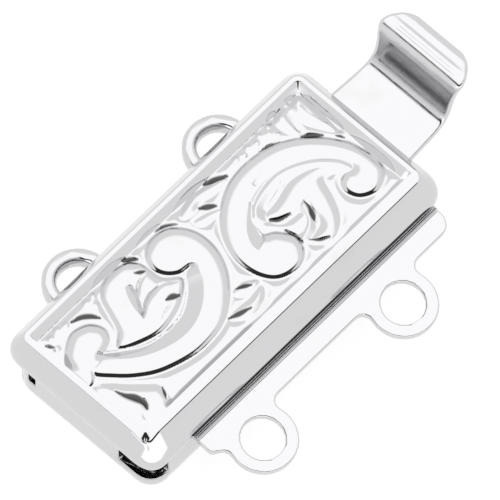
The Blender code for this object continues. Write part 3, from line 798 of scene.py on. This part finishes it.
# The tongue's plate: flat, mirror bright sheet with its sloped flange and two rings, blanked in one piece.
# Its rims are rounded by tumbling, and a low joggle is pressed into it where it enters the case.
TONGUE_ROUND = 0.11
TONGUE_ROUND_STEPS = 3
ON_CUT = 0.01
JOGGLE = (
    # y, rise
    (-5.22, 0.000),
    (-5.16, 0.012),
    (-4.96, 0.116),
    (-4.90, 0.130),
    (-4.80, 0.060),
    (-4.70, 0.000),
)
TONGUE_FINISH = {
    "Colour": (0.63, 0.63, 0.64, 1),
    "Dull Colour": (0.60, 0.60, 0.60, 1),
    "Line Scale": 800.0,
    "Dent Scale": 160.0,
    "Polish": 0.03,
    "Dullness": 0.04,
}
TONGUE_RELIEF = 0.25


def press_joggle(mesh):
    """Cuts the sheet across at each y of the joggle, and raises it there."""
    shape = bmesh.new()
    shape.from_mesh(mesh)
    for cut_y, _ in JOGGLE:
        whole = shape.verts[:] + shape.edges[:] + shape.faces[:]
        bmesh.ops.bisect_plane(shape, geom=whole, plane_co=(0, cut_y * MM, 0), plane_no=(0, 1, 0))
    for point in shape.verts:
        for cut_y, rise in JOGGLE:
            if abs(point.co.y - cut_y * MM) < ON_CUT * MM:
                point.co.z += rise * MM
    shape.to_mesh(mesh)
    shape.free()


tongue = soft_edged("tongue_sheet", "tongue_plate", TONGUE_ROUND, TONGUE_ROUND_STEPS)
press_joggle(tongue.data)
tongue.data.materials.append(plated_metal("tongue_plate_finish", TONGUE_FINISH, TONGUE_RELIEF))
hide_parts("tongue_plate")
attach(tongue, "tongue")

# The spring leaf: the end of the same strip, bent up and out into the ridged thumb pad, with rolled rims.
# Its riser shows the fine lines of the bending tool.
LEAF_SHEET = 0.45
LEAF_FOLD_X = -8.7
LEAF_FOLD_Z = 3.05
LEAF_FOLD_RADIUS = 0.80
LEAF_FOLD_WIDTH = 2.60
LEAF_FOLD_TURNS = (169, 90)
LEAF_FOLD_STEPS = 8
LEAF_RIM = 0.26
LEAF_RIM_DROP = 0.19
LEAF_RIDGE_FADE = 0.25
LEAF_INSETS = (0.0, 0.02, 0.05, 0.09, 0.14, 0.20, 0.28)
LEAF_ACROSS = 12
LEAF_ROW_STEPS = 7
LEAF_SHARP_ANGLE = 60
LEAF_ROWS = (
    # x, z, half width, ridge height
    (9.80, 3.85, 2.70, 0.0),
    (11.60, 3.85, 2.60, 0.0),
    (12.20, 3.87, 2.57, 0.0),
    (12.75, 4.00, 2.53, 0.0),
    (13.10, 4.38, 2.50, 0.0),
    (13.28, 4.90, 2.50, 0.0),
    (13.42, 5.48, 2.54, 0.0),
    (13.58, 6.08, 2.62, 0.0),
    (13.80, 6.48, 2.70, 0.0),
    (14.02, 6.65, 2.69, 0.010),
    (14.20, 6.69, 2.65, -0.040),
    (14.42, 6.72, 2.57, 0.020),
    (14.66, 6.71, 2.45, -0.025),
    (14.98, 6.67, 2.21, 0.015),
    (15.22, 6.62, 1.92, 0.0),
    (15.45, 6.55, 1.36, 0.0),
)
LEAF_FINISH = {
    "Colour": (0.63, 0.63, 0.64, 1),
    "Dull Colour": (0.59, 0.59, 0.59, 1),
    "Line Scale": 4500.0,
    "Dent Scale": 200.0,
    "Polish": 0.06,
    "Dullness": 0.05,
    "Stretch": (1.0, 0.06, 1.0),
    "Line Depth": 0.5,
}
LEAF_RELIEF = 1.0


def leaf_rows():
    """Rows of the leaf's top: x, z, half width and ridge, round the fold and out to the pad's end."""
    turns = np.radians(np.linspace(*LEAF_FOLD_TURNS, LEAF_FOLD_STEPS))
    fold = np.stack([
        LEAF_FOLD_X + LEAF_FOLD_RADIUS * np.cos(turns),
        LEAF_FOLD_Z + LEAF_FOLD_RADIUS * np.sin(turns),
        np.full(LEAF_FOLD_STEPS, LEAF_FOLD_WIDTH),
        np.zeros(LEAF_FOLD_STEPS),
    ], -1)
    return np.vstack([fold, smooth_line(LEAF_ROWS, LEAF_ROW_STEPS)])


def leaf_points():
    """Points and faces of the leaf: each row is a cross section with rounded rims, above and below."""
    rows = leaf_rows()
    steps = np.gradient(rows[:, :2], axis=0)
    steps /= np.linalg.norm(steps, axis=1)[:, None]
    runs = np.linalg.norm(np.diff(rows[:, :2], axis=0), axis=1)
    to_end = np.append(np.cumsum(runs[::-1])[::-1], 0)
    points, faces = [], []
    for (x, z, half, ridge), (step_x, step_z), end in zip(rows, steps, to_end):
        inner = np.linspace(LEAF_INSETS[-1] - half, half - LEAF_INSETS[-1], LEAF_ACROSS + 1)[1:-1]
        across = np.concatenate([np.array(LEAF_INSETS) - half, inner, half - np.array(LEAF_INSETS[::-1])])
        inset = np.minimum(half - np.abs(across), end)
        share = np.clip(1 - inset / LEAF_RIM, 0, 1)
        drop = LEAF_RIM_DROP * (1 - np.sqrt(1 - share**2))
        lift = ridge * ease((inset - LEAF_RIM) / LEAF_RIDGE_FADE) - drop
        for ups in (lift, drop - LEAF_SHEET):
            points += [(x - step_z * up, y, z + step_x * up) for y, up in zip(across, ups)]
    width = len(across)
    for i in range(len(rows) - 1):
        top, below = 2 * i * width, (2 * i + 1) * width
        for j in range(width - 1):
            faces.append((top + j, top + j + 2 * width, top + j + 2 * width + 1, top + j + 1))
            faces.append((below + j, below + j + 1, below + j + 2 * width + 1, below + j + 2 * width))
        for j in (0, width - 1):
            faces.append((top + j, below + j, below + j + 2 * width, top + j + 2 * width))
    for first in (0, 2 * (len(rows) - 1) * width):
        for j in range(width - 1):
            faces.append((first + j, first + j + 1, first + j + 1 + width, first + j + width))
    return points, faces


leaf = new_piece("sprung_leaf", *leaf_points(), LEAF_SHARP_ANGLE)
leaf.data.materials.append(plated_metal("leaf_plate", LEAF_FINISH, LEAF_RELIEF))
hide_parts("spring_leaf")
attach(leaf, "leaf")

# The studio: a table that glows an even white, and a white tent that is brightest overhead. On the
# camera's side the tent has a wide dark patch about half way up, with a low white card at its foot.
# The camera looks down from the near corner with a long lens.
CAMERA_AZIMUTH = math.radians(-47)
CAMERA_HEIGHT = math.radians(63.5)
CAMERA_DISTANCE = 1.0
SENSOR_WIDTH = 36.0
VIEW_WIDTH = 24.27 * MM
VIEW_CENTRE = Vector((1.008, -0.705, 5.028)) * MM
TABLE_SIZE = 6.0
TABLE_DROP = 0.02 * MM
TABLE_COLOUR = (0.15, 0.15, 0.15, 1)
TABLE_GLOW = 0.90

# Strengths of the tent's light, and where its parts end, in degrees up from the table or round from the
# camera's side. The dark patch is an ellipse, and its soft rim lies between two shares of its area.
SIDE_LIGHT = 1.06
OVERHEAD_LIGHT = 0.45
OVERHEAD_RIM = (41.0, 53.0)
DARK_LIGHT = 0.03
DARK_CENTRE = 34.5
DARK_HALF_HEIGHT = 12.5
DARK_HALF_WIDTH = 82.0
DARK_RIM = (0.70, 1.20)
CARD_LIGHT = 0.55
CARD_SIDE = (62.0, 50.0)
CARD_TOP = (25.0, 21.0)

bpy.ops.mesh.primitive_plane_add(size=TABLE_SIZE, location=(0, 0, -TABLE_DROP))
table = bpy.context.object
table.name = "table"
paper = bpy.data.materials.new("table_paper")
paper.use_nodes = True
paper_shader = paper.node_tree.nodes["Principled BSDF"]
paper_shader.inputs["Base Color"].default_value = TABLE_COLOUR
paper_shader.inputs["Roughness"].default_value = 1.0
paper_shader.inputs["Specular IOR Level"].default_value = 0.0
paper_shader.inputs["Emission Color"].default_value = (1, 1, 1, 1)
paper_shader.inputs["Emission Strength"].default_value = TABLE_GLOW
table.data.materials.append(paper)

world = bpy.data.worlds.new("tent")
bpy.context.scene.world = world
world.use_nodes = True
sky = world.node_tree.nodes
wires = world.node_tree.links


def sums(operation, first, second=None, third=None):
    """A math node on values or sockets."""
    node = sky.new("ShaderNodeMath")
    node.operation = operation
    for slot_number, value in enumerate((first, second, third)):
        if value is None:
            continue
        if isinstance(value, (int, float)):
            node.inputs[slot_number].default_value = value
        else:
            wires.new(value, node.inputs[slot_number])
    return node.outputs["Value"]


def between(value, low, high):
    """A smooth step from 0 at low to 1 at high."""
    node = sky.new("ShaderNodeMapRange")
    node.interpolation_type = "SMOOTHSTEP"
    node.inputs["From Min"].default_value = low
    node.inputs["From Max"].default_value = high
    wires.new(value, node.inputs["Value"])
    return node.outputs["Result"]


towards = sky.new("ShaderNodeTexCoord")
direction = sky.new("ShaderNodeSeparateXYZ")
wires.new(towards.outputs["Generated"], direction.inputs["Vector"])
across_x, across_y = direction.outputs["X"], direction.outputs["Y"]
upward = sums("MINIMUM", sums("MAXIMUM", direction.outputs["Z"], -1.0), 1.0)
elevation = sums("DEGREES", sums("ARCSINE", upward))
side_x, side_y = math.sin(CAMERA_AZIMUTH), -math.cos(CAMERA_AZIMUTH)
facing = sums("ADD", sums("MULTIPLY", across_x, side_x), sums("MULTIPLY", across_y, side_y))
aside = sums("SUBTRACT", sums("MULTIPLY", across_y, side_x), sums("MULTIPLY", across_x, side_y))
turn = sums("ABSOLUTE", sums("DEGREES", sums("ARCTAN2", aside, facing)))

tent_light = sums("MULTIPLY_ADD", between(elevation, *OVERHEAD_RIM), OVERHEAD_LIGHT, SIDE_LIGHT)
dark_width = sums("DIVIDE", turn, DARK_HALF_WIDTH)
dark_height = sums("DIVIDE", sums("SUBTRACT", elevation, DARK_CENTRE), DARK_HALF_HEIGHT)
dark_share = sums("ADD", sums("POWER", dark_width, 2.0), sums("POWER", dark_height, 2.0))
outside_dark = sums("MAXIMUM", between(dark_share, *DARK_RIM), DARK_LIGHT)
card = sums("MULTIPLY", between(turn, *CARD_SIDE), between(elevation, *CARD_TOP))
tent_light = sums("ADD", sums("MULTIPLY", tent_light, outside_dark), sums("MULTIPLY", card, CARD_LIGHT))
wires.new(tent_light, sky["Background"].inputs["Strength"])
sky["Background"].inputs["Color"].default_value = (1, 1, 1, 1)

lens = bpy.data.cameras.new("camera")
camera = bpy.data.objects.new("camera", lens)
bpy.context.scene.collection.objects.link(camera)
back = Vector((
    math.sin(CAMERA_AZIMUTH) * math.cos(CAMERA_HEIGHT),
    -math.cos(CAMERA_AZIMUTH) * math.cos(CAMERA_HEIGHT),
    math.sin(CAMERA_HEIGHT),
))
camera.location = VIEW_CENTRE + back * CAMERA_DISTANCE
camera.rotation_euler = (math.pi / 2 - CAMERA_HEIGHT, 0, CAMERA_AZIMUTH)
lens.sensor_width = SENSOR_WIDTH
lens.lens = SENSOR_WIDTH * CAMERA_DISTANCE / VIEW_WIDTH
lens.clip_start = 0.01
lens.clip_end = 20.0
bpy.context.scene.camera = camera
bpy.context.scene.view_settings.view_transform = "Standard"
